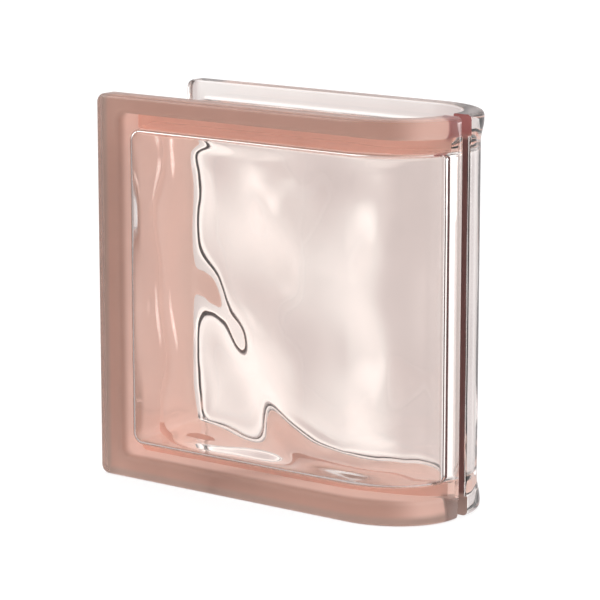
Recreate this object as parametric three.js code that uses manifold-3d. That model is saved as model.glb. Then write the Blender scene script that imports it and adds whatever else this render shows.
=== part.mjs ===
// Hollow glass end block, 190 x 190 x 80 mm, with one rounded end.
//
// Two pressed half shells, front and back, are fused face to face at mid-depth.
// Each shell is a dish: a thick face whose inner side is pressed into waves, a wall
// that runs back to the seam, and a flange round the face that stands proud of the
// wall. Between the two flanges lies the mortar channel, along the top, the bottom and
// the left side. At the rounded end the faces curve in to the seam, and the channel
// closes up to a narrow groove.
//
// Millimetres. X runs along the block to its rounded end, Y from the front face to the
// back face, and Z up. The origin is the middle of the underside.

import * as THREE from 'three';
import { mergeVertices } from 'three/addons/utils/BufferGeometryUtils.js';
import Module from 'manifold-3d';

const wasm = await Module();
wasm.setup();

// The block as a whole.
const LENGTH = 190;
const HEIGHT = 190;
const DEPTH = 80;
const END_REACH = 40; // how far the rounded end reaches past the flat faces
const EDGE_ROUND = 2.5; // rounding along the top and bottom edges of the faces
const SIDE_ROUND = 3; // rounding of the upright edges at the square end
const CORNER_ROUND = 4.5; // the face's two square corners, seen from the front

// Flanges and mortar channel.
const FLANGE_THICKNESS = 10; // from the face back to the channel
const FLANGE_FILLET = 2.5; // between a flange and the channel's floor
const CHANNEL_DEPTH = 9.5; // from the lands down to the channel's floor
const FLOOR_CORNER = 4; // rounding of the channel floor at the block's corners

// The rounded end.
const WAIST = 1.5; // how far the sides of the end lie inside its top and bottom rims
const WAIST_BLEND = 15; // distance from the seam over which the waist sets in
const RIM_HEIGHT = 4; // plain height of each of those rims
const RIM_BLEND = 10; // height over which a rim runs into the end wall
const GROOVE_WIDTH = 5; // seam groove down the end wall
const GROOVE_DEPTH = 6.5; // from the rims in to the groove's floor
const LIP_ROUND = 1; // rounding of the groove's two lips
const MOUTH_WIDTH = 8; // the channel's outlets between the flanges at the end
const END_FLAT = 11; // flat across the tip of the rounded end, over both lips

// Hollow inside.
const FACE_THICKNESS = 9.5;
const WALL_THICKNESS = 4.8; // at the seam; the walls thicken towards the faces
const END_THICKNESS = 10.5;
const HOLLOW_FILLET = 2.5; // between the faces and the walls
const HOLLOW_CORNER = 3; // upright corners at the square end
const WALL_DRAFT = 0.08; // the hollow narrows towards each face by this much per mm

// Weld bead along the seam, proud of the wall inside and outside.
const BEAD_WIDTH = 4;
const BEAD_HEIGHT = 0.8;

// Waves pressed into the inner side of each face. Every wave is a sine with its own
// height, length, heading (degrees from +X towards +Z) and phase (in wavelengths).
const WAVE_BORDER = 9; // the waves fade out over this width round the window
const FRONT_WAVES = [
  { height: 1.85, length: 171, heading: 0, phase: 0.43 },
  { height: 1.05, length: 91, heading: 130, phase: 0.83 },
  { height: 0.55, length: 74, heading: 1, phase: 0.5 },
  { height: 0.55, length: 59, heading: 50, phase: 0.98 },
  { height: 0.45, length: 57, heading: 34, phase: 0.65 },
  { height: 0.3, length: 41, heading: 31, phase: 0.96 },
];
const BACK_WAVES = [
  { height: 1.55, length: 82, heading: 82, phase: 0.35 },
  { height: 0.85, length: 62, heading: -43, phase: 0.64 },
  { height: 0.8, length: 91, heading: 7, phase: 0.55 },
  { height: 0.6, length: 63, heading: -4, phase: 0.29 },
];

// Facets.
const END_SEGMENTS = 12; // along each half of the rounded end
const ARC_SEGMENTS = 4; // in each small rounding
const WALL_ROWS = 14; // up the outside
const WINDOW_CELLS = 30; // across and up the wavy faces
const SNAP = 0.001; // vertices are kept to this grid, so that equal faces meet exactly

const FRONT = -1;
const BACK = 1;
const LEFT = -LENGTH / 2;
const RIGHT = LENGTH / 2;
const END_START = RIGHT - END_REACH;
const FLOOR_LEFT = LEFT + CHANNEL_DEPTH;
const FLOOR_TOP = HEIGHT - CHANNEL_DEPTH;
const HOLLOW_LEFT = FLOOR_LEFT + WALL_THICKNESS;
const HOLLOW_BOTTOM = CHANNEL_DEPTH + WALL_THICKNESS;
const OVERCUT = 20; // how far a cutter runs past the surface that it opens

/** Moves every vertex of a geometry by a function of its place. */
function bend(geometry, move) {
  const position = geometry.attributes.position;
  const point = new THREE.Vector3();
  for (let i = 0; i < position.count; i += 1) {
    point.fromBufferAttribute(position, i);
    move(point);
    position.setXYZ(i, point.x, point.y, point.z);
  }
  return geometry;
}

/** Closed three.js geometry as a solid that can be cut and joined. */
function solid(geometry) {
  geometry.deleteAttribute('normal');
  geometry.deleteAttribute('uv');
  const snapped = bend(geometry, (point) => point.divideScalar(SNAP).round().multiplyScalar(SNAP));
  const merged = mergeVertices(snapped, SNAP / 10);
  return new wasm.Manifold(new wasm.Mesh({
    numProp: 3,
    vertProperties: new Float32Array(merged.attributes.position.array),
    triVerts: new Uint32Array(merged.index.array),
  }));
}

/** Box between two corners. */
function box(left, front, bottom, right, back, top) {
  const geometry = new THREE.BoxGeometry(right - left, back - front, top - bottom);
  geometry.translate((left + right) / 2, (front + back) / 2, (bottom + top) / 2);
  return solid(geometry);
}

/** Points along a quarter of an ellipse, from its far Y side round to its far X side. */
function quarter(centreX, centreY, reachX, reachY, segments) {
  return Array.from({ length: segments + 1 }, (_, i) => {
    const turn = (i / segments) * (Math.PI / 2);
    return new THREE.Vector2(
      centreX + reachX * Math.sin(turn), centreY + reachY * Math.cos(turn),
    );
  });
}

/** Points of the rounded end in plan, from the flat front face to the flat back face. */
function endCurve(halfDepth, tip) {
  const blunt = END_FLAT / 2;
  const front = quarter(END_START, -blunt, tip - END_START, blunt - halfDepth, END_SEGMENTS);
  const back = front.map((point) => new THREE.Vector2(point.x, -point.y)).reverse();
  return [...front, ...back];
}

/** Outline of a rectangle in (X, Z) with rounded corners. */
function roundedRectangle(path, left, low, right, high, corner) {
  path.moveTo(left + corner, low);
  path.lineTo(right - corner, low);
  path.absarc(right - corner, low + corner, corner, -Math.PI / 2, 0, false);
  path.lineTo(right, high - corner);
  path.absarc(right - corner, high - corner, corner, 0, Math.PI / 2, false);
  path.lineTo(left + corner, high);
  path.absarc(left + corner, high - corner, corner, Math.PI / 2, Math.PI, false);
  path.lineTo(left, low + corner);
  path.absarc(left + corner, low + corner, corner, Math.PI, 1.5 * Math.PI, false);
  return path;
}

/** Extrusion along Y of a shape drawn in (X, Z), centred on the seam plane. */
function acrossDepth(shape, depth, bevel) {
  const geometry = new THREE.ExtrudeGeometry(shape, {
    depth,
    curveSegments: ARC_SEGMENTS / 2,
    bevelEnabled: bevel !== undefined,
    ...bevel,
  });
  geometry.translate(0, 0, -depth / 2);
  geometry.rotateX(Math.PI / 2);
  return solid(geometry);
}

/** Prism with one rounded end that both shells are cut from. */
function outerBody() {
  const corner = quarter(
    LEFT + SIDE_ROUND, SIDE_ROUND - DEPTH / 2, -SIDE_ROUND, -SIDE_ROUND, ARC_SEGMENTS,
  ).reverse();
  const backCorner = corner.map((point) => new THREE.Vector2(point.x, -point.y)).reverse();
  const plan = new THREE.Shape([...corner, ...endCurve(DEPTH / 2, RIGHT), ...backCorner]);
  const plainHeight = HEIGHT - 2 * EDGE_ROUND;
  const geometry = new THREE.ExtrudeGeometry(plan, {
    depth: plainHeight,
    steps: WALL_ROWS,
    bevelThickness: EDGE_ROUND,
    bevelSize: EDGE_ROUND,
    bevelOffset: -EDGE_ROUND,
    bevelSegments: 3,
  });
  bend(geometry, gatherRows(plainHeight));
  geometry.translate(0, 0, EDGE_ROUND);
  bend(geometry, sinkEndWall);
  const face = new THREE.Shape();
  roundedRectangle(face, LEFT, 0, RIGHT + OVERCUT, HEIGHT, CORNER_ROUND);
  return solid(geometry).intersect(acrossDepth(face, DEPTH + OVERCUT));
}

/** Draws the rows of an extrusion together near its two ends. */
function gatherRows(height) {
  return (point) => {
    if (point.z > 0 && point.z < height) {
      point.z = (height / 2) * (1 - Math.cos((Math.PI * point.z) / height));
    }
  };
}

/** Sinks the sides of the rounded end between its top and bottom rims. */
function sinkEndWall(point) {
  const fromRim = Math.min(point.z, HEIGHT - point.z) - RIM_HEIGHT;
  const upright = THREE.MathUtils.smoothstep(fromRim, 0, RIM_BLEND);
  const round = THREE.MathUtils.smoothstep(point.x, END_START, RIGHT - END_REACH / 4);
  const aside = THREE.MathUtils.smoothstep(Math.abs(point.y), END_FLAT / 2, WAIST_BLEND);
  const sink = WAIST * upright * round * aside;
  const reach = Math.hypot(point.x - END_START, point.y);
  if (sink > 0) {
    point.x -= (sink * (point.x - END_START)) / reach;
    point.y -= (sink * point.y) / reach;
  }
}

/** Mortar channel between the flanges: along the left side, the top and the bottom. */
function mortarChannel() {
  const frame = new THREE.Shape();
  roundedRectangle(
    frame, LEFT - OVERCUT, -OVERCUT, RIGHT + 2 * OVERCUT, HEIGHT + OVERCUT, CHANNEL_DEPTH,
  );
  const wall = new THREE.Path();
  roundedRectangle(wall, FLOOR_LEFT, CHANNEL_DEPTH, RIGHT + OVERCUT, FLOOR_TOP, FLOOR_CORNER);
  frame.holes.push(wall);
  const square = acrossDepth(frame, DEPTH - 2 * FLANGE_THICKNESS - 2 * FLANGE_FILLET, {
    bevelThickness: FLANGE_FILLET,
    bevelSize: FLANGE_FILLET,
    bevelOffset: -FLANGE_FILLET,
    bevelSegments: ARC_SEGMENTS,
  }).intersect(box(-LENGTH, -DEPTH, -CHANNEL_DEPTH, END_START, DEPTH, HEIGHT + CHANNEL_DEPTH));
  return square.add(channelEnd(FLOOR_TOP, 0)).add(channelEnd(CHANNEL_DEPTH, Math.PI));
}

/** End of the top or bottom channel, turned about X, which closes in with the flanges. */
function channelEnd(floor, turnAboutX) {
  const halfWidth = DEPTH / 2 - FLANGE_THICKNESS;
  const reach = END_REACH - FLANGE_THICKNESS;
  const plan = new THREE.Shape(endCurve(halfWidth, END_START + reach));
  const rows = ARC_SEGMENTS + 1; // those of the fillet, and one above them
  const geometry = new THREE.ExtrudeGeometry(plan, {
    depth: rows, steps: rows, bevelEnabled: false,
  });
  bend(geometry, (point) => {
    const row = Math.round(point.z);
    const turn = (Math.min(row, ARC_SEGMENTS) / ARC_SEGMENTS) * (Math.PI / 2);
    const inset = FLANGE_FILLET * (1 - Math.sin(turn));
    point.x -= (inset * (point.x - END_START)) / reach;
    point.y *= 1 - inset / halfWidth;
    point.z = row < rows ? FLANGE_FILLET * (1 - Math.cos(turn)) : 2 * CHANNEL_DEPTH;
  });
  geometry.rotateX(turnAboutX);
  geometry.translate(0, 0, floor);
  return solid(geometry);
}

/** Groove down the seam of the end wall, and the channel's two outlets beside it. */
function seamGroove() {
  const half = GROOVE_WIDTH / 2;
  const floor = RIGHT - GROOVE_DEPTH;
  const mouthEnd = RIGHT + OVERCUT;
  const lip = quarter(
    RIGHT - LIP_ROUND, half + LIP_ROUND, LIP_ROUND, -LIP_ROUND, ARC_SEGMENTS,
  ).slice(0, ARC_SEGMENTS);
  const back = [
    new THREE.Vector2(floor, half / 2), new THREE.Vector2(floor + half / 2, half),
    ...lip, new THREE.Vector2(mouthEnd, DEPTH / 2),
  ];
  const front = back.map((point) => new THREE.Vector2(point.x, -point.y)).reverse();
  const section = new THREE.Shape([...front, ...back]);
  const geometry = new THREE.ExtrudeGeometry(section, {
    depth: HEIGHT + 2 * OVERCUT, bevelEnabled: false,
  });
  geometry.translate(0, 0, -OVERCUT);
  const mouthStart = RIGHT - END_REACH / 2;
  const side = MOUTH_WIDTH / 2;
  const top = box(mouthStart, -side, FLOOR_TOP, mouthEnd, side, HEIGHT + OVERCUT);
  const bottom = box(mouthStart, -side, -OVERCUT, mouthEnd, side, CHANNEL_DEPTH);
  return solid(geometry).add(top).add(bottom);
}

/** Height of the waves at a place on the window, in from the plain inner face. */
function waveHeight(waves, x, z) {
  return waves.reduce((sum, wave) => {
    const heading = THREE.MathUtils.degToRad(wave.heading);
    const along = x * Math.cos(heading) + (z - HEIGHT / 2) * Math.sin(heading);
    return sum + wave.height * Math.sin(2 * Math.PI * (along / wave.length + wave.phase));
  }, 0);
}

/** One shell's half of the hollow, with waves on its large side. */
function hollow(side, waves) {
  const faceY = DEPTH / 2 - FACE_THICKNESS;
  const tip = RIGHT - END_THICKNESS;
  const corner = quarter(
    HOLLOW_LEFT + HOLLOW_CORNER, faceY - HOLLOW_CORNER, -HOLLOW_CORNER, HOLLOW_CORNER, ARC_SEGMENTS,
  ).reverse();
  const flat = Array.from({ length: WINDOW_CELLS - 1 }, (_, i) => new THREE.Vector2(
    THREE.MathUtils.lerp(HOLLOW_LEFT + HOLLOW_CORNER, END_START, (i + 1) / WINDOW_CELLS), faceY,
  ));
  const end = endCurve(faceY, tip).slice(END_SEGMENTS + 1).reverse();
  const half = [
    new THREE.Vector2(HOLLOW_LEFT, -OVERCUT), ...corner, ...flat, ...end,
    new THREE.Vector2(tip, -OVERCUT),
  ];
  const plan = new THREE.Shape(half.map((point) => new THREE.Vector2(point.x, side * point.y)));
  const geometry = new THREE.ExtrudeGeometry(plan, {
    depth: HEIGHT - 2 * HOLLOW_BOTTOM - 2 * HOLLOW_FILLET,
    steps: WINDOW_CELLS,
    bevelThickness: HOLLOW_FILLET,
    bevelSize: HOLLOW_FILLET,
    bevelOffset: -HOLLOW_FILLET,
    bevelSegments: ARC_SEGMENTS,
  });
  geometry.translate(0, 0, HOLLOW_BOTTOM + HOLLOW_FILLET);
  bend(geometry, (point) => giveDraft(point, side));
  return solid(bend(geometry, (point) => pressWaves(point, waves)));
}

/** Narrows the hollow towards the face, so that the shell leaves its mould. */
function giveDraft(point, side) {
  const middle = HEIGHT / 2;
  const narrowing = WALL_DRAFT * side * point.y;
  point.z = middle + (point.z - middle) * (1 - narrowing / (middle - HOLLOW_BOTTOM));
  if (point.x < END_START) {
    point.x += narrowing * ((END_START - point.x) / (END_START - HOLLOW_LEFT));
  }
}

/** Moves a point of the hollow's large side by the height of the waves. */
function pressWaves(point, waves) {
  const faceY = DEPTH / 2 - FACE_THICKNESS;
  const border = WALL_DRAFT * faceY;
  const fromEdge = Math.min(
    point.x - HOLLOW_LEFT - border, RIGHT - END_THICKNESS - point.x,
    point.z - HOLLOW_BOTTOM - border, HEIGHT - HOLLOW_BOTTOM - border - point.z,
  );
  const onWindow = THREE.MathUtils.smoothstep(fromEdge, HOLLOW_FILLET / 2, WAVE_BORDER);
  const onFace = THREE.MathUtils.smoothstep(Math.abs(point.y), faceY / 2, faceY);
  point.y -= Math.sign(point.y) * waveHeight(waves, point.x, point.z) * onWindow * onFace;
}

/** Bead of glass squeezed out where the walls were fused. */
function weldBead() {
  const frame = new THREE.Shape();
  const outer = CHANNEL_DEPTH - BEAD_HEIGHT;
  const inner = HOLLOW_BOTTOM + BEAD_HEIGHT;
  const grooveFloor = RIGHT - GROOVE_DEPTH;
  roundedRectangle(frame, LEFT + outer, outer, grooveFloor, HEIGHT - outer, FLOOR_CORNER);
  const opening = new THREE.Path();
  roundedRectangle(
    opening, HOLLOW_LEFT + BEAD_HEIGHT, inner, RIGHT - END_THICKNESS - BEAD_HEIGHT,
    HEIGHT - inner, HOLLOW_CORNER,
  );
  frame.holes.push(opening);
  return acrossDepth(frame, BEAD_WIDTH - 2 * BEAD_HEIGHT, {
    bevelThickness: BEAD_HEIGHT,
    bevelSize: 2 * BEAD_HEIGHT,
    bevelOffset: -2 * BEAD_HEIGHT,
    bevelSegments: 2,
  });
}

/** One pressed shell, from its face to the seam plane. */
function shell(side, waves, blank, bead) {
  const reach = LENGTH + OVERCUT;
  const front = side === FRONT ? -DEPTH : 0;
  const ownHalf = box(-reach, front, -OVERCUT, reach, front + DEPTH, HEIGHT + OVERCUT);
  return blank.subtract(hollow(side, waves)).add(bead).intersect(ownHalf);
}

/** A shell as a named mesh in clear glass with a faint tint. */
function shellMesh(name, form, color) {
  const { vertProperties, triVerts } = form.getMesh();
  const geometry = new THREE.BufferGeometry();
  geometry.setAttribute('position', new THREE.BufferAttribute(vertProperties, 3));
  geometry.setIndex(new THREE.BufferAttribute(triVerts, 1));
  geometry.computeVertexNormals();
  const glass = new THREE.MeshStandardMaterial({ color, roughness: 0.05, metalness: 0 });
  const mesh = new THREE.Mesh(geometry, glass);
  mesh.name = name;
  return mesh;
}

const blank = outerBody().subtract(mortarChannel()).subtract(seamGroove());
const bead = weldBead();
const endBlock = new THREE.Group();
endBlock.name = 'glass_end_block';
endBlock.add(shellMesh('front_shell', shell(FRONT, FRONT_WAVES, blank, bead), 0xe3bcae));
endBlock.add(shellMesh('back_shell', shell(BACK, BACK_WAVES, blank, bead), 0xefe2da));

export default endBlock;
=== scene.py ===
"""Hollow glass end block: two pressed half shells, fused at mid-depth.

The mortar channel between the flanges is lined with a satin pink coating, which shows
through the clear glass in front of it. Sizes are in millimetres and are turned into
metres when a shell is finished.
"""

import logging
import math
from collections.abc import Callable, Iterable, Mapping
from dataclasses import dataclass
from enum import Enum

import bmesh
import bpy
from bmesh.types import BMEdge, BMFace, BMVert
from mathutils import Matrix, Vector


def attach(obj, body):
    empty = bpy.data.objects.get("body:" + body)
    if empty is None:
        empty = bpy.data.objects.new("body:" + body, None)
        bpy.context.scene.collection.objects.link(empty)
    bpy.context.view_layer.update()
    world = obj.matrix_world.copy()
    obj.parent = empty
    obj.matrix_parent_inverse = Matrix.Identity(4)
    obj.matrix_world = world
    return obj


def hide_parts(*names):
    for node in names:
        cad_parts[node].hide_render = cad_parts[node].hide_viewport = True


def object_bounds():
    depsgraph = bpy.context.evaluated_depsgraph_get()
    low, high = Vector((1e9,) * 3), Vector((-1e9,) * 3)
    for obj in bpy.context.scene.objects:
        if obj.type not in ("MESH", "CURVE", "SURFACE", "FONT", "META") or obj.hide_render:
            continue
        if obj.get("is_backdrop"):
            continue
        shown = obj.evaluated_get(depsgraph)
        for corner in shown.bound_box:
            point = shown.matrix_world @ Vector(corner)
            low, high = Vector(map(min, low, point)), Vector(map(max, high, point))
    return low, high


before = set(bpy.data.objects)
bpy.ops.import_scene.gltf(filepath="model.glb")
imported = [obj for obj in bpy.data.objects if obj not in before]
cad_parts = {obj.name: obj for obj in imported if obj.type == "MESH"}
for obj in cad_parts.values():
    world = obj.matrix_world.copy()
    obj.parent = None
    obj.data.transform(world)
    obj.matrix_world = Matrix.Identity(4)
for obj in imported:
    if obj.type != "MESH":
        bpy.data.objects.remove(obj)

log = logging.getLogger("glass_block")

MM = 0.001  # one millimetre in metres
NEAR = 1e-4  # two places closer than this, in millimetres, are the same place
JOINED = 1e-3  # vertices closer than this, in millimetres, are joined
QUARTER_TURN = math.pi / 2

EDGE_STEPS = 6  # rows of faces round the outer edges
LIP_STEPS = 3  # round the flange's lip
ROOT_STEPS = 6  # round the flange's root
GROOVE_STEPS = 5  # round the lip of the seam groove
FILLET_STEPS = 8  # round the edges of the hollow

SOFT_SCALE = 38.0  # scale of the soft unevenness, in patches to the metre
FINE_SCALE = 900.0  # and of the fine one

Place = Callable[[Vector], Vector]  # gives the new place of a point
Span = tuple[float, float]  # where something starts and ends
Color = tuple[float, float, float]
Value = bpy.types.NodeSocket | float | tuple[float, ...]  # what a socket can be fed with

WHITE: Color = (1.0, 1.0, 1.0)


class Surface(Enum):
    """What a face of a shell is finished with; the value is its material slot."""

    GLASS = 0
    COATING = 1
    STAINED_SEAM = 2
    SEAM = 3


class Side(Enum):
    """Which half of the block a shell is; the value is its sign along Y."""

    FRONT = -1
    BACK = 1


@dataclass(frozen=True)
class Wave:
    """One sine pressed into the inner side of a face.

    Height and length are in millimetres, the heading is in degrees from +X towards +Z,
    and the phase is a share of the length.
    """

    height: float
    length: float
    heading: float
    phase: float

    def at(self, x: float, z: float) -> float:
        """Height of the wave at a place.

        Args:
            x: Place along the block, from its middle.
            z: Place up the block, from its middle.

        Returns:
            The height, below 0 in a trough.
        """
        heading = math.radians(self.heading)
        along = x * math.cos(heading) + z * math.sin(heading)
        return self.height * math.sin(2 * math.pi * (along / self.length + self.phase))


@dataclass(frozen=True)
class BlockForm:
    """Sizes of the block that both shells share.

    The outline is read off the bounds of model.glb. What lies inside it is the same as in the part:
    flanges, mortar channel, rounded end with its seam groove, and the hollow. Only the
    hollow's edges and corners are rounder here.
    """

    length: float
    height: float
    half_depth: float
    end_reach: float = 40.0  # from where the faces begin to curve in, to the tip
    end_blunt: float = 5.5  # from the seam plane to where that curve ends
    edge_round: float = 2.5
    corner_round: float = 4.5  # outer corners of the square end
    flange_thickness: float = 10.0
    flange_fillet: float = 2.5
    flange_lip: float = 0.7
    channel_depth: float = 9.5
    floor_corner: float = 4.0
    waist: float = 1.5  # how far the sides of the rounded end are sunk between its rims
    waist_blend: float = 15.0  # distance out from the seam plane where they are fully sunk
    waist_tip: float = 10.0  # distance in from the tip where they are fully sunk
    rim_height: float = 4.0
    rim_blend: float = 10.0
    groove_half: float = 2.5
    groove_depth: float = 6.5
    groove_chamfer: float = 1.0
    lip_round: float = 1.0
    mouth_half: float = 4.0
    land_line: float = 3.0  # insets of two lines of the face's grid, which is finer near its border
    border_line: float = 16.0
    face_thickness: float = 9.5
    end_extra: float = 1.0  # how much thicker the glass is at the tip than in the faces
    wall_thickness: float = 4.8
    hollow_fillet: float = 3.0
    hollow_corner: float = 6.0
    wall_draft: float = 0.08  # slope of the hollow's walls
    bead_half: float = 2.0
    bead_height: float = 0.8
    wave_border: float = 9.0  # the waves reach full height this far in from the hollow's walls
    ripple_border: float = 18.0  # and the ripples this far
    seam_gap: float = 0.01  # left between each shell and the seam plane

    @property
    def left(self) -> float:
        """X of the square end."""
        return -self.length / 2

    @property
    def right(self) -> float:
        """X of the tip of the rounded end."""
        return self.length / 2

    @property
    def end_start(self) -> float:
        """X where the faces begin to curve in."""
        return self.right - self.end_reach

    @property
    def arc(self) -> float:
        """Length given to the curve of the rounded end, along the face."""
        return QUARTER_TURN * (self.end_reach + self.half_depth - self.end_blunt) / 2

    @property
    def arc_end(self) -> float:
        """Distance along the face where the curve meets the flat tip."""
        return self.end_start + self.arc

    @property
    def seam_line(self) -> float:
        """Distance along the face where the flat tip meets the seam plane."""
        return self.arc_end + self.end_blunt

    @property
    def middle(self) -> float:
        """Height of the block's middle."""
        return self.height / 2

    @property
    def floor_edge(self) -> float:
        """Depth below the face at which the channel's flat floor begins."""
        return self.flange_thickness + self.flange_fillet

    @property
    def draft(self) -> float:
        """How much nearer to the outline the hollow's walls are at the seam."""
        return self.wall_draft * (self.half_depth - self.face_thickness - self.hollow_fillet)

    @property
    def hollow_inset(self) -> float:
        """Inset of the hollow's walls from the block's outline, next to the faces."""
        return self.channel_depth + self.wall_thickness + self.draft

    @property
    def hollow_end(self) -> float:
        """X where the hollow ends in the rounded end."""
        return self.right - self.face_thickness - self.end_extra

    def corner_radius(self, inset: float) -> float:
        """Radius of the block's square corners.

        Args:
            inset: Distance in from the outline.

        Returns:
            The radius there. Between two of the rings below it changes evenly.
        """
        rings = (
            (0.0, self.corner_round),
            (self.flange_lip, self.corner_round - self.flange_lip),
            (self.channel_depth - self.flange_fillet, self.floor_corner + self.flange_fillet),
            (self.channel_depth, self.floor_corner),
            (self.hollow_inset, self.hollow_corner),
            (self.hollow_inset + self.hollow_corner, 0.0),
        )
        for (start, low), (end, high) in zip(rings, rings[1:]):
            if inset <= end:
                return low + (high - low) * max(inset - start, 0.0) / (end - start)
        return 0.0

    def sink(self, x: float, out: float, height: float) -> float:
        """How far the sides of the rounded end lie inside its rims.

        Args:
            x: X of a place on the block's outside.
            out: The place's distance out from the seam plane.
            height: The place's height.

        Returns:
            The distance there, 0 on the rims, on the flat tip and on the faces.
        """
        from_rim = min(height, self.height - height) - self.rim_height
        upright = smoothstep(from_rim, 0.0, self.rim_blend)
        round_end = smoothstep(x, self.end_start, self.right - self.waist_tip)
        return self.waist * upright * round_end * smoothstep(out, self.end_blunt, self.waist_blend)


def smoothstep(value: float, low: float, high: float) -> float:
    """Runs smoothly from 0 at low to 1 at high.

    Args:
        value: The number that is looked at.
        low: Where the run starts.
        high: Where it ends.

    Returns:
        A share from 0 to 1.
    """
    share = min(max((value - low) / (high - low), 0.0), 1.0)
    return share * share * (3 - 2 * share)


def stops(start: float, *runs: tuple[float, int]) -> list[float]:
    """Places of the lines of a grid.

    Args:
        start: Where the first line is.
        runs: For each run, where it ends and how many steps it has.

    Returns:
        The places in order.
    """
    places = [start]
    for end, steps in runs:
        begin = places[-1]
        places += [begin + (end - begin) * (i + 1) / steps for i in range(steps)]
    return places


def round_off(steps: int) -> list[tuple[float, float]]:
    """Points of the quarter circle that rounds off a corner at (0, 0).

    Args:
        steps: How many steps it has.

    Returns:
        The points from (1, 0) to (0, 1), for a radius of 1.
    """
    turns = [QUARTER_TURN * i / steps for i in range(steps + 1)]
    return [(1 - math.sin(turn), 1 - math.cos(turn)) for turn in turns]


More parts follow.
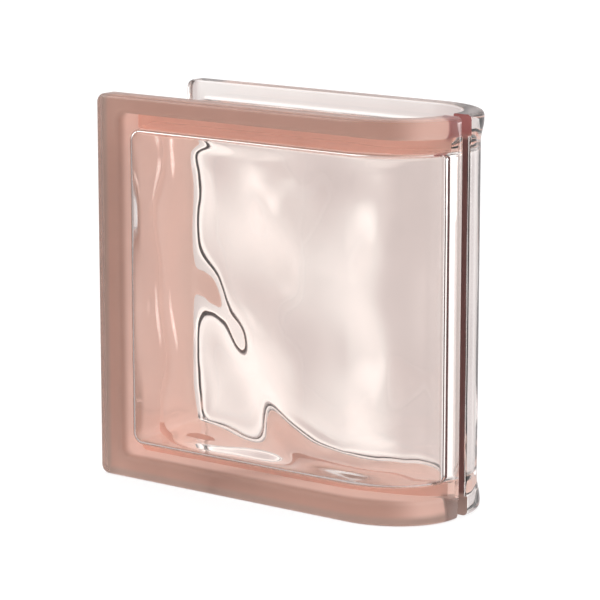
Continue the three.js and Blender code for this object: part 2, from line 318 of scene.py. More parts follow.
@dataclass
class HalfShell:
    """One pressed half of the block, as a closed mesh.

    The mesh is drawn flat first: each vertex holds its distance along the face, its
    depth below the face and its height. Then every vertex is settled to its place on
    the block, where the face curves round the end.
    """

    form: BlockForm
    side: Side
    waves: tuple[Wave, ...]
    ripples: tuple[Wave, ...]
    sharp: float = math.radians(38)  # faces that meet at more than this angle are shaded apart

    def __post_init__(self) -> None:
        """Makes an empty mesh with the two marks that settling needs on each vertex."""
        self.bm = bmesh.new()
        self.share = self.bm.verts.layers.float.new("share")
        self.hollow = self.bm.verts.layers.float.new("hollow")

    # Drawing flat.

    def sheet(
        self, columns: list[float], rows: list[float], depth: float, hollow: bool
    ) -> list[BMEdge]:
        """Draws a flat grid.

        Args:
            columns: Places of its lines along the face.
            rows: Heights of its lines.
            depth: How deep it lies below the face.
            hollow: Whether it belongs to the hollow.

        Returns:
            Its edges.
        """
        last = (len(columns) - 1, len(rows) - 1)
        grid = bmesh.ops.create_grid(self.bm, x_segments=last[0], y_segments=last[1], size=1.0)
        for vert in grid["verts"]:
            column = round((vert.co.x + 1) / 2 * last[0])
            row = round((vert.co.y + 1) / 2 * last[1])
            vert.co = (columns[column], depth, rows[row])
            vert[self.share] = 1.0
            vert[self.hollow] = float(hollow)
        return list({edge for vert in grid["verts"] for edge in vert.link_edges})

    def row(
        self, edges: Iterable[BMEdge], place: Place, surface: Surface, share: float = 1.0
    ) -> list[BMEdge]:
        """Carries a border on by one row of faces.

        Args:
            edges: The border's edges.
            place: Gives the new place of a point of the border.
            surface: What the new faces are finished with.
            share: How far out from the seam plane the new row is, from 1 to 0.

        Returns:
            The edges of the new border.
        """
        made = bmesh.ops.extrude_edge_only(self.bm, edges=list(edges))["geom"]
        verts = {item for item in made if isinstance(item, BMVert)}
        for vert in verts:
            vert.co = place(vert.co)
            vert[self.share] = share
        border = []
        for edge in {edge for vert in verts for edge in vert.link_edges}:
            for face in edge.link_faces:
                face.material_index = surface.value
            if edge.verts[0] in verts and edge.verts[1] in verts:
                border.append(edge)
        return border

    def inset_to(self, old: float, new: float, depth: float) -> Place:
        """Tells how a border round the square end goes from one inset to another.

        Args:
            old: The border's inset.
            new: The new inset.
            depth: The new depth below the face.

        Returns:
            What gives the new place of a point of the border.
        """
        form = self.form
        width = form.end_start - form.left

        def place(point: Vector) -> Vector:
            """Draws a point in towards the middle, along the face and in height.

            Args:
                point: The point.

            Returns:
                Its new place.
            """
            along, height = point.x, point.z
            if along < form.end_start:
                along = form.end_start - (form.end_start - along) * (width - new) / (width - old)
            height = form.middle + (height - form.middle) * (form.middle - new) / (form.middle - old)
            return Vector((along, depth, height))

        return place

    def rows(
        self, edges: list[BMEdge], inset: float, path: list[tuple[float, float]], surface: Surface
    ) -> list[BMEdge]:
        """Carries a border on along a profile.

        Args:
            edges: The border's edges.
            inset: The border's inset.
            path: Inset and depth of each row's far side.
            surface: What the new faces are finished with.

        Returns:
            The edges of the new border.
        """
        for new, depth in path:
            edges = self.row(edges, self.inset_to(inset, new, depth), surface)
            inset = new
        return edges

    def to_seam(
        self, edges: list[BMEdge], inset: float, proud: float, draft: float, surface: Surface
    ) -> None:
        """Carries a wall back to the seam plane.

        Args:
            edges: The border where the wall starts.
            inset: The wall's inset there.
            proud: How far the weld bead on the last rows stands out, towards the hollow.
            draft: How much nearer to the outline the wall is at the seam.
            surface: What the wall is finished with.
        """
        form = self.form
        depth = edges[0].verts[0].co.y
        last = 0.0
        for share in self.seam_shares():
            offset = proud * smoothstep(1 - share, 1 - self.bead_share, 1.0) - draft * (1 - share)

            def place(point: Vector, was: float = last, now: float = offset) -> Vector:
                """Takes a point from the last row's offset to this one's, less round the end."""
                fade = 1 - smoothstep(point.x, form.end_start, form.arc_end)
                return self.inset_to(inset + was * fade, inset + now * fade, depth)(point)

            edges = self.row(edges, place, surface, share)
            last = offset

    @property
    def bead_share(self) -> float:
        """Share of the way out from the seam that the bead takes up."""
        return self.form.bead_half / (self.form.half_depth - self.form.floor_edge)

    def seam_shares(self) -> list[float]:
        """Shares of the rows between a wall's start and the seam plane."""
        mouth, bead = self.form.mouth_half / self.form.end_blunt, self.bead_share
        return [mouth, mouth / 2, bead, bead / 2, bead / 4, 0.0]

    def draw_outside(self) -> None:
        """Draws the face, the flange, the channel and the groove."""
        form = self.form
        top = form.height - form.channel_depth
        columns = stops(
            form.left + form.edge_round,
            (form.left + form.land_line, 1),
            (form.left + form.border_line, 12),
            (form.end_start, 24),
            (form.arc_end, 32),
            (form.seam_line - form.mouth_half, 1),
        )
        low = stops(
            form.edge_round,
            (form.land_line, 1),
            (form.channel_depth, 7),
            (form.border_line, 7),
            (form.middle, 24),
        )
        rows = low + [form.height - height for height in reversed(low[:-1])]
        edges = self.sheet(columns, rows, 0.0, hollow=False)
        border = [edge for edge in edges if self.on_frame(edge, columns[0], rows[0], rows[-1])]
        end_wall = [
            edge for edge in edges if self.on_end(edge, columns[-1], form.channel_depth, top)
        ]
        floor = self.off_tip(self.draw_flange(border))
        self.to_seam(floor, form.channel_depth, -form.bead_height, 0.0, Surface.COATING)
        self.draw_groove(end_wall)

    def draw_flange(self, border: list[BMEdge]) -> list[BMEdge]:
        """Carries the face's border on over the flange's edge, lip and root.

        Args:
            border: The face's border.

        Returns:
            The border where the channel's floor starts.
        """
        form = self.form
        edge, lip, fillet = form.edge_round, form.flange_lip, form.flange_fillet
        tip, floor = form.flange_thickness, form.channel_depth
        round_edge = [(edge * across, edge * down) for across, down in round_off(EDGE_STEPS)[1:]]
        round_lip = [(lip * down, tip - lip * across) for across, down in round_off(LIP_STEPS)]
        round_root = [
            (floor - fillet * across, tip + fillet * down) for across, down in round_off(ROOT_STEPS)
        ]
        half = len(round_root) // 2 + 1
        border = self.rows(border, edge, round_edge + round_lip[:1], Surface.GLASS)
        border = self.rows(border, 0.0, round_lip[1:], self.flange_back)
        border = self.rows(border, lip, round_root[:half], self.flange_back)
        border = self.rows(border, round_root[half - 1][0], round_root[half:], Surface.COATING)
        if self.side is Side.BACK:
            self.clear_top_root()
        return border

    def clear_top_root(self) -> None:
        """Takes the coating off the flange's root along the top channel."""
        form = self.form
        for face in self.bm.faces:
            place = face.calc_center_median()
            if place.y < form.floor_edge and place.z > form.height - form.channel_depth - NEAR:
                face.material_index = Surface.GLASS.value

    @property
    def flange_back(self) -> Surface:
        """Finish of the flange's channel side: the back flange is left clear."""
        return Surface.COATING if self.side is Side.FRONT else Surface.GLASS

    @property
    def groove_wall(self) -> Surface:
        """Finish of the groove's wall: the front one is left clear."""
        return Surface.GLASS if self.side is Side.FRONT else Surface.COATING

    @staticmethod
    def on_frame(edge: BMEdge, left: float, low: float, high: float) -> bool:
        """Tells the edges on a sheet's left, bottom and top border.

        Args:
            edge: The edge that is looked at.
            left: Place of the sheet's left border, along the face.
            low: Height of its bottom border.
            high: Height of its top border.

        Returns:
            Whether the edge is on one of them.
        """
        places = [vert.co for vert in edge.verts]
        return (
            all(abs(place.x - left) < NEAR for place in places)
            or all(abs(place.z - low) < NEAR for place in places)
            or all(abs(place.z - high) < NEAR for place in places)
        )

    @staticmethod
    def on_end(edge: BMEdge, right: float, low: float, high: float) -> bool:
        """Tells the edges on a sheet's right border, between two heights.

        Args:
            edge: The edge that is looked at.
            right: Place of the sheet's right border, along the face.
            low: The lower height.
            high: The upper height.

        Returns:
            Whether the edge is there.
        """
        return all(
            abs(vert.co.x - right) < NEAR and low - NEAR < vert.co.z < high + NEAR
            for vert in edge.verts
        )

    def off_tip(self, edges: list[BMEdge]) -> list[BMEdge]:
        """The edges of a border that aren't on the flat tip."""
        end = self.form.arc_end + NEAR
        return [edge for edge in edges if max(vert.co.x for vert in edge.verts) < end]

    def draw_groove(self, edges: list[BMEdge]) -> None:
        """Carries the end wall round its lip and down the groove to the seam plane.

        Args:
            edges: The face's edges along the flat tip, between the channel's floors.
        """
        form = self.form
        seam, floor, lip = form.seam_line, form.groove_depth, form.lip_round
        wall = seam - form.groove_half
        path = [
            (wall - lip * across, lip * down, Surface.GLASS) for across, down in round_off(GROOVE_STEPS)
        ]
        path += [
            (wall, floor - form.groove_chamfer, self.groove_wall),
            (seam - form.groove_half / 2, floor, self.groove_wall),
            (seam, floor, self.groove_wall),
        ]
        for along, depth, surface in path:

            def place(point: Vector, x: float = along, y: float = depth) -> Vector:
                """Takes a point to this row at its own height."""
                return Vector((x, y, point.z))

            edges = self.row(edges, place, surface)

    def draw_hollow(self) -> None:
        """Draws the wavy inner face, its fillet and the hollow's walls."""
        form = self.form
        fillet = form.hollow_fillet
        inset = form.hollow_inset + fillet
        ends = [form.arc_end + form.end_blunt * (1 - share) for share in self.seam_shares()]
        columns = stops(form.left + inset, (form.end_start, 104), (form.arc_end, 40)) + ends
        rows = stops(inset, (form.height - inset, 124))
        edges = self.sheet(columns, rows, form.face_thickness, hollow=True)
        border = [edge for edge in edges if self.on_frame(edge, columns[0], rows[0], rows[-1])]
        round_fillet = [
            (form.hollow_inset + fillet * across, form.face_thickness + fillet * down)
            for across, down in round_off(FILLET_STEPS)[1:]
        ]
        wall = self.off_tip(self.rows(border, inset, round_fillet, Surface.GLASS))
        self.to_seam(wall, form.hollow_inset, form.bead_height, form.draft, Surface.GLASS)

    # Settling on the block.

    def round_corner(self, along: float, height: float) -> tuple[float, float]:
        """Draws a point near a square corner in, on to the rounded corner of its ring.

        Args:
            along: The point's distance along the face.
            height: Its height.

        Returns:
            Both, after the move.
        """
        form = self.form
        across = along - form.left
        up = min(height, form.height - height)
        inset = min(across, up)
        radius = form.corner_radius(inset)
        far = max(across, up) - inset
        if far >= radius:
            return along, height
        turn = (1 - far / radius) * QUARTER_TURN / 2
        near_side = inset + radius * (1 - math.cos(turn))
        far_side = inset + radius * (1 - math.sin(turn))
        across, up = (near_side, far_side) if across < up else (far_side, near_side)
        return form.left + across, up if height < form.middle else form.height - up

    def plan(self, along: float, depth: float, hollow: bool) -> tuple[float, float]:
        """Place in plan of a point.

        Args:
            along: The point's distance along the face.
            depth: Its depth below the face.
            hollow: Whether it belongs to the hollow.

        Returns:
            Its X and its distance out from the seam plane.
        """
        form = self.form
        out = form.half_depth - depth
        turn = min(max((along - form.end_start) / form.arc, 0.0), 1.0) * QUARTER_TURN
        reach = form.end_reach - depth - (form.end_extra if hollow else 0.0)
        if turn == 0.0:
            return along, out
        x = form.end_start + reach * math.sin(turn)
        beyond = max(along - form.arc_end, 0.0)
        return x, form.end_blunt + (out - form.end_blunt) * math.cos(turn) - beyond

    def wave_height(self, x: float, out: float, height: float) -> float:
        """How far the waves and ripples stand in from the plain inner face.

        Args:
            x: X of a place on the inner face.
            out: The place's distance out from the seam plane.
            height: The place's height.

        Returns:
            The distance there, which fades to 0 at the hollow's walls.
        """
        form = self.form
        face = form.half_depth - form.face_thickness
        from_edge = min(
            x - form.left - form.hollow_inset,
            form.hollow_end - x,
            min(height, form.height - height) - form.hollow_inset,
        )
        on_window = smoothstep(from_edge, form.hollow_fillet / 2, form.wave_border)
        well_in = smoothstep(from_edge, form.hollow_fillet / 2, form.ripple_border)
        waves = sum(wave.at(x, height - form.middle) for wave in self.waves)
        ripples = sum(wave.at(x, height - form.middle) for wave in self.ripples)
        return (waves * on_window + ripples * well_in) * smoothstep(out, face / 2, face)

    def settle(self) -> None:
        """Moves every vertex from its flat place to its place on the block."""
        form = self.form
        for vert in self.bm.verts:
            hollow = vert[self.hollow] > 0
            along, height = self.round_corner(vert.co.x, vert.co.z)
            x, out = self.plan(along, vert.co.y, hollow)
            if hollow:
                out -= self.wave_height(x, out, height)
            elif vert.co.y < NEAR:
                x, out = self.sunk(x, out, height)
            out = max(out * vert[self.share], form.seam_gap)
            vert.co = (x, self.side.value * out, height)

    def sunk(self, x: float, out: float, height: float) -> tuple[float, float]:
        """Sinks a point of the rounded end between its rims.

        Args:
            x: The point's X.
            out: Its distance out from the seam plane.
            height: Its height.

        Returns:
            Its X and its distance out, after the move.
        """
        form = self.form
        sink = form.sink(x, out, height)
        reach = math.hypot(x - form.end_start, out)
        if sink == 0.0 or reach < NEAR:
            return x, out
        return x - sink * (x - form.end_start) / reach, out * (1 - sink / reach)

    # Closing.

    def close(self) -> None:
        """Closes the flange's ends, the channel's outlets and the seam plane."""
        form = self.form
        bmesh.ops.remove_doubles(self.bm, verts=self.bm.verts, dist=JOINED)
        self.close_outlet(form.channel_depth, 1)
        self.close_outlet(form.height - form.channel_depth, -1)
        self.close_seam()

    def close_outlet(self, level: float, up: int) -> None:
        """Closes the flange's end and the channel's floor at the rounded end.

        Args:
            level: Height of the channel's floor.
            up: 1 where the block lies above that floor, and -1 where it lies below.
        """
        form = self.form
        mouth = form.mouth_half
        root_x = form.right - form.floor_edge

        def on_cap(place: Vector) -> bool:
            """Tells the places on the flange's end."""
            return abs(abs(place.y) - mouth) < JOINED and up * (place.z - level) < JOINED

        def on_floor(place: Vector) -> bool:
            """Tells the places on the channel's floor, between the flange's end and the seam."""
            at_level = abs(place.z - level) < JOINED
            return at_level and place.x > root_x - JOINED and abs(place.y) < mouth + JOINED

        root = self.find(root_x, mouth, level)
        self.bm.edges.new((root, self.find_outermost(mouth, level)))
        self.fill(self.borders(on_cap), Surface.COATING)
        floor_end = self.find(form.right - form.groove_depth, 0.0, level)
        self.bm.edges.new((self.find(root_x, 0.0, level), floor_end))
        self.fill(self.borders(on_floor), Surface.COATING)

    def close_seam(self) -> None:
        """Closes the seam plane, which is stained along the top and bottom channels."""
        form = self.form
        wall = form.hollow_inset + form.draft
        rim = [edge for edge in self.bm.edges if edge.is_boundary]
        made = bmesh.ops.triangle_fill(self.bm, use_beauty=True, use_dissolve=False, edges=rim)
        for face in (item for item in made["geom"] if isinstance(item, BMFace)):
            place = face.calc_center_median()
            level = min(place.z, form.height - place.z)
            stained = place.x < form.hollow_end and level < wall
            face.material_index = (Surface.STAINED_SEAM if stained else Surface.SEAM).value

    def find(self, x: float, out: float, height: float) -> BMVert:
        """Finds the vertex nearest a place.

        Args:
            x: X of the place.
            out: Its distance out from the seam plane.
            height: Its height.

        Returns:
            The vertex.
        """
        target = Vector((x, self.side.value * out, height))
        return min(self.bm.verts, key=lambda vert: (vert.co - target).length_squared)

    def find_outermost(self, out: float, height: float) -> BMVert:
        """Finds the vertex furthest along X on a line parallel to X.

        Args:
            out: The line's distance out from the seam plane.
            height: Its height.

        Returns:
            The vertex.
        """
        level = [
            vert for vert in self.bm.verts
            if abs(abs(vert.co.y) - out) < JOINED and abs(vert.co.z - height) < JOINED
        ]
        return max(level, key=lambda vert: vert.co.x)

    def borders(self, inside: Callable[[Vector], bool]) -> list[BMEdge]:
        """Finds the open and loose edges in a region.

        Args:
            inside: Tells whether a place is in it.

        Returns:
            The edges whose two ends are both in it.
        """
        return [
            edge for edge in self.bm.edges
            if len(edge.link_faces) < 2 and inside(edge.verts[0].co) and inside(edge.verts[1].co)
        ]

    def fill(self, edges: list[BMEdge], surface: Surface) -> None:
        """Fills a flat loop of edges with one face."""
        for face in bmesh.ops.edgeloop_fill(self.bm, edges=edges)["faces"]:
            face.material_index = surface.value

    def build(self, name: str) -> bpy.types.Object:
        """Makes the shell's object.

        Args:
            name: Name of the object.

        Returns:
            The object, in metres, with its origin at the block's own.
        """
        self.draw_outside()
        self.draw_hollow()
        self.settle()
        self.close()
        bm = self.bm
        bmesh.ops.recalc_face_normals(bm, faces=bm.faces)
        for face in bm.faces:
            face.smooth = True
        for edge in bm.edges:
            edge.smooth = len(edge.link_faces) == 2 and edge.calc_face_angle(math.pi) < self.sharp
        open_edges = sum(not edge.is_manifold for edge in bm.edges)
        log.info("%s: %d edges that aren't closed", name, open_edges)
        bmesh.ops.scale(bm, verts=bm.verts, vec=(MM, MM, MM))
        mesh = bpy.data.meshes.new(name)
        bm.to_mesh(mesh)
        bm.free()
        shell = bpy.data.objects.new(name, mesh)
        bpy.context.scene.collection.objects.link(shell)
        return shell

    @staticmethod
    def dress(
        shell: bpy.types.Object, finishes: Iterable[bpy.types.Material], node: str, slot: str
    ) -> None:
        """Gives a shell its materials, hangs it under the root body's empty and hides its CAD part.

        Args:
            shell: The shell's object.
            finishes: Its materials, in the order of Surface.
            node: The CAD node that it stands for.
            slot: Not used.
        """
        for finish in finishes:
            shell.data.materials.append(finish)
        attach(shell, "root")
        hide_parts(node)


class Nodes:
    """Short ways to add nodes to a tree and to link them."""

    def __init__(self, tree: bpy.types.NodeTree) -> None:
        """Keeps the tree."""
        self.tree = tree

    def add(self, kind: str, **settings: object) -> bpy.types.Node:
        """Adds a node.

        Args:
            kind: Its type.
            settings: Its properties, by name.

        Returns:
            The node.
        """
        node = self.tree.nodes.new(kind)
        for name, value in settings.items():
            setattr(node, name, value)
        return node

    def feed(self, socket: bpy.types.NodeSocket, value: Value) -> None:
        """Links a socket or sets its value.

        Args:
            socket: The socket that is fed.
            value: Another socket, a number, or three numbers for a colour or a direction.
        """
        if isinstance(value, bpy.types.NodeSocket):
            self.tree.links.new(value, socket)
        elif socket.type == "RGBA":
            socket.default_value = (*value, 1.0)
        else:
            socket.default_value = value

    def math(self, operation: str, *values: Value, clamp: bool = False) -> bpy.types.NodeSocket:
        """Works out a number.

        Args:
            operation: What the Math node does.
            values: What goes into it, in order.
            clamp: Whether the result is kept between 0 and 1.

        Returns:
            The result.
        """
        node = self.add("ShaderNodeMath", operation=operation, use_clamp=clamp)
        for socket, value in zip(node.inputs, values):
            self.feed(socket, value)
        return node.outputs["Value"]

    def ramp(
        self, value: Value, span: Span, low: Value = 0.0, high: Value = 1.0, smooth: bool = True
    ) -> bpy.types.NodeSocket:
        """Runs from low to high while a value goes through a span.

        Args:
            value: The value.
            span: Where the run starts and ends.
            low: The result before the span.
            high: The result after it.
            smooth: Whether the run starts and ends gently.

        Returns:
            The result.
        """
        kind = "SMOOTHSTEP" if smooth else "LINEAR"
        node = self.add("ShaderNodeMapRange", interpolation_type=kind)
        names = ("Value", "From Min", "From Max", "To Min", "To Max")
        for name, given in zip(names, (value, *span, low, high)):
            self.feed(node.inputs[name], given)
        return node.outputs["Result"]

    def blend(self, share: Value, first: Value, second: Value) -> bpy.types.NodeSocket:
        """Mixes two colours.

        Args:
            share: How much of the second colour there is, from 0 to 1.
            first: The first colour.
            second: The second colour.

        Returns:
            The mixed colour.
        """
        node = self.add("ShaderNodeMix", data_type="RGBA")
        # The sockets between these are for mixing numbers and vectors.
        for number, value in ((0, share), (6, first), (7, second)):
            self.feed(node.inputs[number], value)
        return node.outputs[2]

    def mix(
        self, share: Value, first: bpy.types.NodeSocket, second: bpy.types.NodeSocket
    ) -> bpy.types.NodeSocket:
        """Mixes two shaders.

        Args:
            share: How much of the second shader there is, from 0 to 1.
            first: The first shader.
            second: The second shader.

        Returns:
            The mixed shader.
        """
        node = self.add("ShaderNodeMixShader")
        for socket, value in zip(node.inputs, (share, first, second)):
            self.feed(socket, value)
        return node.outputs["Shader"]

    def noise(self, place: bpy.types.NodeSocket, scale: float, detail: float) -> bpy.types.NodeSocket:
        """Unevenness from 0 to 1.

        Args:
            place: Where on the object it is read.
            scale: How many patches a metre has.
            detail: How many finer layers it has.

        Returns:
            The unevenness, spread out, because raw noise mostly lies between 0.3 and 0.7.
        """
        node = self.add("ShaderNodeTexNoise")
        for name, value in (("Vector", place), ("Scale", scale), ("Detail", detail)):
            self.feed(node.inputs[name], value)
        return self.ramp(node.outputs["Fac"], (0.3, 0.7))

    def finish(self, shader: bpy.types.NodeSocket) -> None:
        """Links a shader to the material's output."""
        self.feed(self.tree.nodes["Material Output"].inputs["Surface"], shader)


def block_surface(form: BlockForm) -> bpy.types.NodeTree:
    """Makes the group that tells the finishes where on the block they are.

    Args:
        form: The block's sizes.

    Returns:
        A node group with the distance in from the outline, the depth below the faces,
        the distance in from the rounded tip and the height, all in millimetres, and a
        soft and a fine unevenness from 0 to 1.
    """
    tree = bpy.data.node_groups.new("block_surface", "ShaderNodeTree")
    nodes = Nodes(tree)
    place = nodes.add("ShaderNodeTexCoord").outputs["Object"]
    apart = nodes.add("ShaderNodeSeparateXYZ")
    nodes.feed(apart.inputs[0], place)
    across = nodes.math("MULTIPLY_ADD", apart.outputs["X"], 1 / MM, -form.left)
    up = nodes.math("DIVIDE", apart.outputs["Z"], MM)
    down = nodes.math("SUBTRACT", form.height, up)
    out = nodes.math("DIVIDE", nodes.math("ABSOLUTE", apart.outputs["Y"]), MM)
    results = {
        "Inset": nodes.math("MINIMUM", across, nodes.math("MINIMUM", up, down)),
        "Depth": nodes.math("SUBTRACT", form.half_depth, out),
        "Tip": nodes.math("SUBTRACT", form.length, across),
        "Height": up,
        "Soft": nodes.noise(place, SOFT_SCALE, detail=2.0),
        "Fine": nodes.noise(place, FINE_SCALE, detail=3.0),
    }
    for name in results:
        tree.interface.new_socket(name, in_out="OUTPUT", socket_type="NodeSocketFloat")
    ends = nodes.add("NodeGroupOutput")
    for name, result in results.items():
        nodes.feed(ends.inputs[name], result)
    return tree


@dataclass(frozen=True)
class Finish:
    """A material that is built from nodes."""

    name: str

    def start(self) -> tuple[bpy.types.Material, Nodes, bpy.types.Node]:
        """Makes the material.

        Returns:
            The material, its nodes and its Principled node.
        """
        material = bpy.data.materials.new(self.name)
        material.use_nodes = True
        nodes = Nodes(material.node_tree)
        return material, nodes, material.node_tree.nodes["Principled BSDF"]


@dataclass(frozen=True)
class ClearGlass(Finish):
    """Pressed soda-lime glass with a faint tint, slightly uneven faces and satin lands."""

    tint: Color = (0.99, 0.93, 0.9)
    uneven: float = 0.97  # how much of the tint's lightness is left where it is deepest
    ripple: float = 0.00003  # depth of the bump, in metres
    satin: float = 0.4  # roughness of the lands
    top_satin: float = 0.4  # and near the top
    near_top: Span = (150.0, 180.0)  # heights
    land: Span = (0.0, 2.5)  # insets
    ior: float = 1.52

    def build(self, group: bpy.types.NodeTree) -> bpy.types.Material:
        """Makes the material.

        Args:
            group: The group that tells where on the block a place is.

        Returns:
            The material.
        """
        material, nodes, glass = self.start()
        surface = nodes.add("ShaderNodeGroup", node_tree=group).outputs
        deeper = tuple(value * self.uneven for value in self.tint)
        nodes.feed(glass.inputs["Base Color"], nodes.blend(surface["Soft"], self.tint, deeper))
        satin = nodes.ramp(surface["Height"], self.near_top, self.satin, self.top_satin)
        on_land = nodes.ramp(surface["Inset"], self.land, 1.0, 0.0)
        nodes.feed(glass.inputs["Roughness"], nodes.math("MULTIPLY", on_land, satin))
        nodes.feed(glass.inputs["IOR"], self.ior)
        nodes.feed(glass.inputs["Transmission Weight"], 1.0)
        bump = nodes.add("ShaderNodeBump")
        nodes.feed(bump.inputs["Distance"], self.ripple)
        nodes.feed(bump.inputs["Height"], surface["Soft"])
        nodes.feed(glass.inputs["Normal"], bump.outputs["Normal"])
        return material


@dataclass(frozen=True)
class ChannelCoating(Finish):
    """Satin pink coating on the channel's side of the glass; some light comes through it.

    The spans are in millimetres: insets from the outline, depths below the faces,
    distances in from the rounded tip, or heights.
    """

    # painted shade: the flange's colour is a darker copy of the wall's, because the flange's channel side
    # gets less light
    flange: Color = (0.66, 0.415, 0.34)
    wall: Color = (0.99, 0.7, 0.61)
    # painted shade: a greyer, darker band along the flange's tip, where the shaded channel shows through
    # the glass
    edge: Color = (0.55, 0.4, 0.345)
    # painted shade: the coating is much darker down in the deep, narrow seam groove
    groove: Color = (0.26, 0.13, 0.12)
    mouth: Color = (0.5, 0.2, 0.19)
    low_mouth: Color = (0.44, 0.31, 0.27)
    wall_depths: Span = (12.5, 24.0)  # painted shade: from the flange's darker colour to the wall's lighter one
    edge_insets: Span = (1.0, 4.0)  # painted shade: from the darker band at the flange's tip to the flange's colour
    floor_insets: Span = (8.0, 12.0)  # from the channel to the groove below it
    groove_tips: Span = (7.0, 9.0)  # painted shade: from the groove's dark colour to the wall's
    mouth_tips: Span = (14.0, 20.0)  # from the mouth's colour to the wall's
    mouth_depths: Span = (34.0, 35.5)  # from the wall's colour to the mouth's, next to the seam
    mouth_heights: Span = (60.0, 120.0)  # from the lower mouth's colour to the upper one's
    share: float = 0.4  # how much light comes through
    uneven: float = 0.96  # how much of the lightness is left where the coating is deepest
    roughness: float = 0.5
    grain: float = 0.15  # how much rougher it is in places
    shine: float = 0.2

    def build(self, group: bpy.types.NodeTree) -> bpy.types.Material:
        """Makes the material.

        Args:
            group: The group that tells where on the block a place is.

        Returns:
            The material.
        """
        material, nodes, satin = self.start()
        surface = nodes.add("ShaderNodeGroup", node_tree=group).outputs
        spray = nodes.add("ShaderNodeVectorMath", operation="SCALE")
        nodes.feed(spray.inputs[0], self.pattern(nodes, surface))
        shade = nodes.ramp(surface["Soft"], (0.0, 1.0), self.uneven, 1.0)
        nodes.feed(spray.inputs["Scale"], shade)
        nodes.feed(satin.inputs["Base Color"], spray.outputs[0])
        rough = nodes.ramp(surface["Fine"], (0.0, 1.0), self.roughness, self.roughness + self.grain)
        nodes.feed(satin.inputs["Roughness"], rough)
        nodes.feed(satin.inputs["Specular IOR Level"], self.shine)
        through = nodes.add("ShaderNodeBsdfTranslucent")
        nodes.feed(through.inputs["Color"], spray.outputs[0])
        nodes.finish(nodes.mix(self.share, satin.outputs["BSDF"], through.outputs["BSDF"]))
        return material

    def pattern(
        self, nodes: Nodes, surface: Mapping[str, bpy.types.NodeSocket]
    ) -> bpy.types.NodeSocket:
        """Colours the flange, wall, edge, groove and mouth, with painted shade on the flange, its tip and
        the seam groove.

        Args:
            nodes: The material's nodes.
            surface: What tells where on the block a place is.

        Returns:
            The colour at a place.
        """
        # painted shade: darker on the flange, lighter on the hollow's walls
        color = nodes.blend(nodes.ramp(surface["Depth"], self.wall_depths), self.flange, self.wall)
        # painted shade: darker along the flange's tip
        color = nodes.blend(nodes.ramp(surface["Inset"], self.edge_insets), self.edge, color)
        # painted shade in the seam groove at the tip, below the channel's floor
        low_down = nodes.ramp(surface["Inset"], self.floor_insets)
        at_tip = nodes.ramp(surface["Tip"], self.groove_tips, 1.0, 0.0)
        color = nodes.blend(nodes.math("MULTIPLY", at_tip, low_down), color, self.groove)
        # darker red where the channel runs out next to the seam groove, greyer lower down
        at_mouth = nodes.ramp(surface["Tip"], self.mouth_tips, 1.0, 0.0)
        by_seam = nodes.ramp(surface["Depth"], self.mouth_depths)
        in_channel = nodes.math("SUBTRACT", 1.0, low_down)
        mouth_patch = nodes.math("MULTIPLY", nodes.math("MULTIPLY", at_mouth, by_seam), in_channel)
        high_up = nodes.ramp(surface["Height"], self.mouth_heights)
        return nodes.blend(mouth_patch, color, nodes.blend(high_up, self.low_mouth, self.mouth))


@dataclass(frozen=True)
class FusedSeam(Finish):
    """The plane where the shells are one glass, which light crosses unchanged."""

    def build(self) -> bpy.types.Material:
        """Makes the material.

        Returns:
            The material.
        """
        material, nodes, principled = self.start()
        nodes.finish(nodes.add("ShaderNodeBsdfTransparent").outputs["BSDF"])
        nodes.tree.nodes.remove(principled)
        return material


@dataclass(frozen=True)
class PaleFloor(Finish):
    """White floor that glows, and keeps a part of the block's shadow.

    The camera and scattered light see it. Light that the glass bends or mirrors goes
    through it, to the room.
    """

    color: Color = (0.9, 0.9, 0.9)
    roughness: float = 0.9
    glow: float = 1.09
    fill: float = 0.65  # how much more it glows for scattered light
    shadow: float = 0.25  # share of the shadowed floor in what the camera sees
    bounced: float = 0.95  # share of the glow in what scattered light sees

    def build(self) -> bpy.types.Material:
        """Makes the material.

        Returns:
            The material.
        """
        material, nodes, plain = self.start()
        nodes.feed(plain.inputs["Base Color"], self.color)
        nodes.feed(plain.inputs["Roughness"], self.roughness)
        nodes.feed(plain.inputs["Specular IOR Level"], 0.0)
        ray = nodes.add("ShaderNodeLightPath").outputs
        scattered = ray["Is Diffuse Ray"]
        glow = nodes.add("ShaderNodeEmission")
        strength = nodes.math("MULTIPLY_ADD", scattered, self.fill, self.glow)
        nodes.feed(glow.inputs["Strength"], strength)
        bounced = nodes.math("MULTIPLY", scattered, self.bounced)
        share = nodes.math("MULTIPLY_ADD", ray["Is Camera Ray"], 1 - self.shadow, bounced)
        lit = nodes.mix(share, plain.outputs["BSDF"], glow.outputs["Emission"])
        through = nodes.math("MAXIMUM", ray["Is Transmission Ray"], ray["Is Glossy Ray"])
        sharp = nodes.math("SUBTRACT", through, scattered, clamp=True)
        clear = nodes.add("ShaderNodeBsdfTransparent")
        nodes.finish(nodes.mix(sharp, lit, clear.outputs["BSDF"]))
        return material


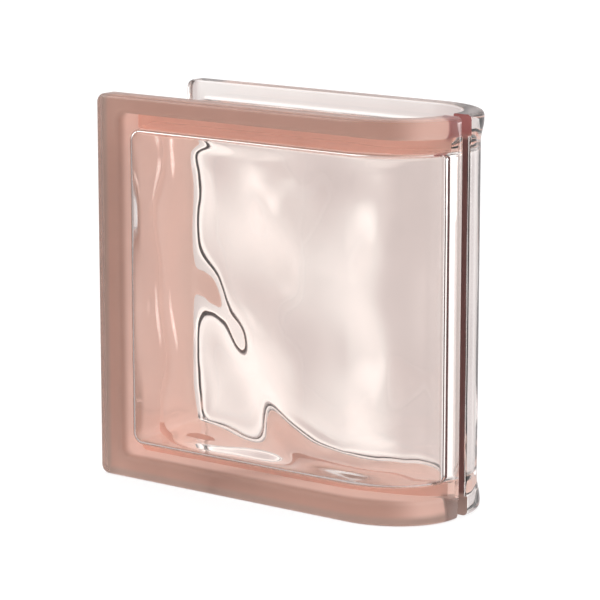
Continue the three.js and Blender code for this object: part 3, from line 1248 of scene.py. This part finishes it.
@dataclass(frozen=True)
class SoftLamp:
    """A soft round patch of light far away, brightest in its middle.

    Azimuth is counted from +X towards +Y; both angles and the reach are in degrees. A
    light below 0 makes a dark patch, and a higher fade draws the light to the middle.
    """

    azimuth: float
    elevation: float
    reach: float
    light: float
    fade: float = 1.0

    def shine(
        self, nodes: Nodes, direction: bpy.types.NodeSocket, level: bpy.types.NodeSocket
    ) -> bpy.types.NodeSocket:
        """Adds the lamp's light to the light that comes from a direction.

        Args:
            nodes: The world's nodes.
            direction: The direction that is looked in.
            level: The light from there without this lamp.

        Returns:
            The light from there with this lamp.
        """
        turn, lift = math.radians(self.azimuth), math.radians(self.elevation)
        middle = (math.cos(lift) * math.cos(turn), math.cos(lift) * math.sin(turn), math.sin(lift))
        dot = nodes.add("ShaderNodeVectorMath", operation="DOT_PRODUCT")
        nodes.feed(dot.inputs[0], direction)
        nodes.feed(dot.inputs[1], middle)
        span = (math.cos(math.radians(self.reach)), 1.0)
        near = nodes.ramp(dot.outputs["Value"], span, smooth=False)
        return nodes.math("MULTIPLY_ADD", nodes.math("POWER", near, self.fade), self.light, level)


@dataclass(frozen=True)
class Studio:
    """Floor, soft light and camera."""

    yaw: float = 37.23
    pitch: float = 11.38
    lens: float = 172.5
    position: tuple[float, float, float] = (0.8222, -1.0828, 0.3664)
    far_end: float = 20.0  # how far the camera sees, in metres
    floor_half: float = 6.0  # half the floor's width, in metres
    bounces: int = 24
    room_light: float = 0.725
    front_light: float = 0.6
    fill_light: float = 0.3  # how much more light scattered light gets
    room_turn: Span = (-0.4, 0.3)  # where the darker front of the room turns into the rest, in Y
    room_tint: Color = (1.0, 0.945, 0.95)
    lamps: tuple[SoftLamp, ...] = (
        SoftLamp(azimuth=151.5, elevation=-23.4, reach=37.8, light=0.66, fade=2.0),
        SoftLamp(azimuth=134.7, elevation=-6.1, reach=5.0, light=0.3, fade=2.0),
        SoftLamp(azimuth=215.0, elevation=35.0, reach=25.0, light=2.6),
        SoftLamp(azimuth=100.0, elevation=65.0, reach=45.0, light=1.2),
        SoftLamp(azimuth=197.0, elevation=-3.0, reach=22.0, light=-0.3),
        SoftLamp(azimuth=128.0, elevation=14.0, reach=10.0, light=0.15),
        SoftLamp(azimuth=50.0, elevation=10.0, reach=45.0, light=0.7),
        SoftLamp(azimuth=52.0, elevation=-5.0, reach=5.0, light=8.0),
    )

    def build(self) -> None:
        """Makes the whole studio."""
        self.add_camera()
        self.add_floor()
        self.light_world()
        scene = bpy.context.scene
        scene.view_settings.view_transform = "Standard"
        scene.cycles.max_bounces = self.bounces
        scene.cycles.transmission_bounces = self.bounces
        scene.cycles.transparent_max_bounces = self.bounces

    def add_camera(self) -> None:
        """Stands the camera to the right of the block and a little above it."""
        data = bpy.data.cameras.new("camera")
        data.lens = self.lens
        data.clip_end = self.far_end
        camera = bpy.data.objects.new("camera", data)
        camera.location = self.position
        camera.rotation_euler = (math.radians(90 - self.pitch), 0.0, math.radians(self.yaw))
        bpy.context.scene.collection.objects.link(camera)
        bpy.context.scene.camera = camera

    def add_floor(self) -> None:
        """Lays the floor."""
        bm = bmesh.new()
        bmesh.ops.create_grid(bm, x_segments=1, y_segments=1, size=self.floor_half)
        mesh = bpy.data.meshes.new("floor")
        bm.to_mesh(mesh)
        bm.free()
        mesh.materials.append(PaleFloor("floor_white").build())
        floor = bpy.data.objects.new("floor", mesh)
        bpy.context.scene.collection.objects.link(floor)
        floor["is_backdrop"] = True

    def light_world(self) -> None:
        """Lights the block from all round: a darker room in front of it, and soft lamps."""
        world = bpy.data.worlds.new("studio")
        bpy.context.scene.world = world
        world.use_nodes = True
        nodes = Nodes(world.node_tree)
        direction = nodes.add("ShaderNodeTexCoord").outputs["Generated"]
        apart = nodes.add("ShaderNodeSeparateXYZ")
        nodes.feed(apart.inputs[0], direction)
        level = nodes.ramp(apart.outputs["Y"], self.room_turn, self.front_light, self.room_light)
        for lamp in self.lamps:
            level = lamp.shine(nodes, direction, level)
        ray = nodes.add("ShaderNodeLightPath").outputs
        scattered = nodes.math("MINIMUM", ray["Diffuse Depth"], 1.0)
        fill = nodes.math("MULTIPLY_ADD", scattered, self.fill_light, 1.0)
        seen = nodes.math("MAXIMUM", nodes.math("MULTIPLY", level, fill), ray["Is Camera Ray"])
        bright = nodes.ramp(seen, (self.room_light, 1.0))
        background = nodes.tree.nodes["Background"].inputs
        nodes.feed(background["Color"], nodes.blend(bright, self.room_tint, WHITE))
        nodes.feed(background["Strength"], seen)


# The waves that the part has in its faces.
FRONT_WAVES = (
    Wave(height=1.85, length=171, heading=0, phase=0.43),
    Wave(height=1.05, length=91, heading=130, phase=0.83),
    Wave(height=0.55, length=74, heading=1, phase=0.5),
    Wave(height=0.55, length=59, heading=50, phase=0.98),
    Wave(height=0.45, length=57, heading=34, phase=0.65),
    Wave(height=0.3, length=41, heading=31, phase=0.96),
)
BACK_WAVES = (
    Wave(height=1.55, length=82, heading=82, phase=0.35),
    Wave(height=0.85, length=62, heading=-43, phase=0.64),
    Wave(height=0.8, length=91, heading=7, phase=0.55),
    Wave(height=0.6, length=63, heading=-4, phase=0.29),
)

# Fine relief on top of them, which the part doesn't have.
FRONT_RIPPLES = (
    Wave(height=0.18, length=38.3, heading=64, phase=0.79),
    Wave(height=0.13, length=31, heading=-34, phase=0.4),
    Wave(height=0.08, length=50.6, heading=7, phase=0.17),
    Wave(height=0.07, length=23.9, heading=32, phase=0.39),
)
BACK_RIPPLES = (
    Wave(height=0.25, length=52.7, heading=-82, phase=0.58),
    Wave(height=0.21, length=42.8, heading=-7, phase=0.17),
    Wave(height=0.16, length=55.7, heading=-21, phase=0.47),
    Wave(height=0.09, length=29.6, heading=89, phase=0.08),
)


def main() -> None:
    """Builds the block and its studio."""
    logging.basicConfig(level=logging.INFO, format="%(name)s: %(message)s")
    low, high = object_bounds()
    form = BlockForm(
        length=round((high.x - low.x) / MM, 3),
        height=round((high.z - low.z) / MM, 3),
        half_depth=round(high.y / MM, 3),
    )
    surface = block_surface(form)
    seam = FusedSeam("fused_seam").build()
    stained_seam = ChannelCoating("stained_seam", share=0.5).build(surface)
    # the front's groove floor, seen from inside the glass, gets a lighter painted shade
    front_coating = ChannelCoating("front_coating", groove=(0.8, 0.6, 0.55)).build(surface)
    # the back flange's colour carries almost no painted shade
    back_coating = ChannelCoating("back_coating", flange=(0.97, 0.7, 0.61), share=0.47).build(surface)
    front_glass = ClearGlass("front_clear_glass").build(surface)
    back_glass = ClearGlass("back_clear_glass", satin=0.15).build(surface)

    front_half = HalfShell(form, Side.FRONT, FRONT_WAVES, FRONT_RIPPLES)
    front = front_half.build("front_shell_glass")
    front_half.dress(front, (front_glass, front_coating, stained_seam, seam), "front_shell", "front_glass")
    log.info("%s: %d faces", front.name, len(front.data.polygons))
    back_half = HalfShell(form, Side.BACK, BACK_WAVES, BACK_RIPPLES)
    back = back_half.build("back_shell_glass")
    back_half.dress(back, (back_glass, back_coating, seam, seam), "back_shell", "back_glass")
    log.info("%s: %d faces", back.name, len(back.data.polygons))

    studio = Studio()
    studio.build()
    log.info("studio: camera, floor and %d lamps", len(studio.lamps))
    low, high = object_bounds()
    log.info("visual box: %s to %s", tuple(low), tuple(high))


if __name__ == "__main__":
    main()
